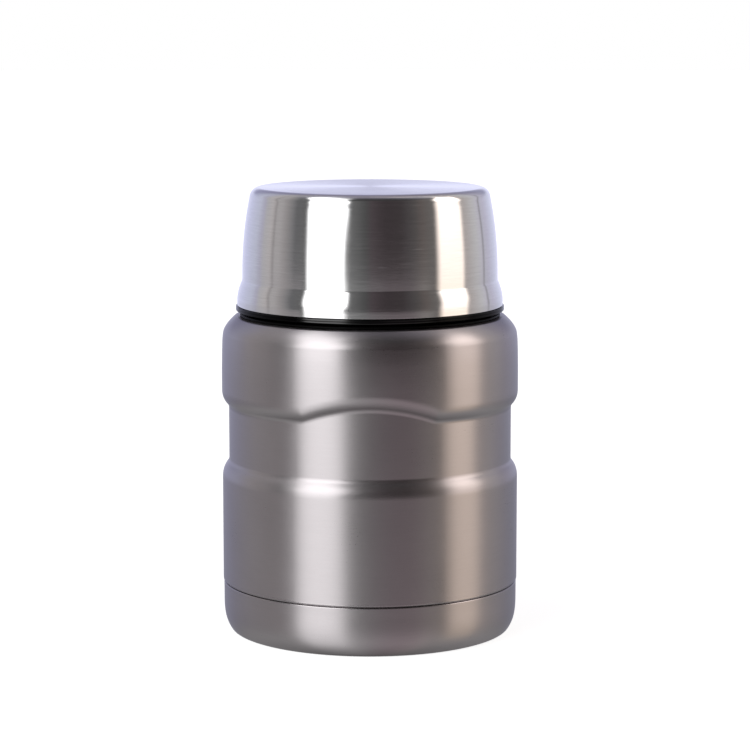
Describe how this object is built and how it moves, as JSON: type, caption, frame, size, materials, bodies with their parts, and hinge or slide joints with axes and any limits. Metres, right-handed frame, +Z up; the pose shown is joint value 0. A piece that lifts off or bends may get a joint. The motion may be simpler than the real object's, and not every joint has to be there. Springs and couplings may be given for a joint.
{
  "type": "insulated food jar",
  "caption": "Double-wall steel vacuum food jar with a recessed waist, a screw stopper and a tall screw-on steel lid that doubles as a serving bowl.",
  "frame": {"origin": "centre of the jar's base, on the surface it stands on", "axes": "+Z up along the jar's axis, towards the lid; the front, with the pocket in the upper band, faces -Y"},
  "size_m": [0.0946, 0.0946, 0.142],
  "materials": {
    "body_steel": "satin",
    "lid_steel": "polished",
    "vessel_steel": "satin",
    "black_gloss": "gloss",
    "black_satin": "satin",
    "silicone": "satin",
    "foam": "matte",
    "foil": "gloss",
    "seal_metal": "satin"
  },
  "bodies": {
    "jar": {"outer_shell": "body_steel", "inner_vessel": "vessel_steel", "shell_bottom": "vessel_steel", "evacuation_seal": "seal_metal", "getter": "seal_metal", "getter_clip": "vessel_steel", "heat_shield": "foil", "base_cap": "body_steel", "neck_collar": "black_satin"},
    "stopper_carrier": {"stopper_foam": "foam"},
    "stopper": {"stopper_body": "black_satin", "stopper_cap": "black_satin", "stopper_gasket": "silicone"},
    "lid_carrier": {"lid_foam": "foam"},
    "lid": {"lid_shell": "lid_steel", "lid_liner": "black_gloss"}
  },
  "joints": [
    {"name": "stopper_rise", "type": "slide", "parent": "jar", "child": "stopper_carrier", "axis": [0, 0, 1], "range_m": [0, 0.036]},
    {"name": "stopper_turn", "type": "hinge", "parent": "stopper_carrier", "child": "stopper", "pos_m": [0, 0, 0], "axis": [0, 0, 1], "range_deg": [0, 1080]},
    {"name": "lid_rise", "type": "slide", "parent": "stopper", "child": "lid_carrier", "axis": [0, 0, 1], "range_m": [0, 0.048]},
    {"name": "lid_turn", "type": "hinge", "parent": "lid_carrier", "child": "lid", "pos_m": [0, 0, 0], "axis": [0, 0, 1], "range_deg": [0, 1440]}
  ],
  "couplings": [
    {"joint": "stopper_rise", "follows": "stopper_turn", "m_per_rad": 0.0019099},
    {"joint": "lid_rise", "follows": "lid_turn", "m_per_rad": 0.0019099}
  ]
}
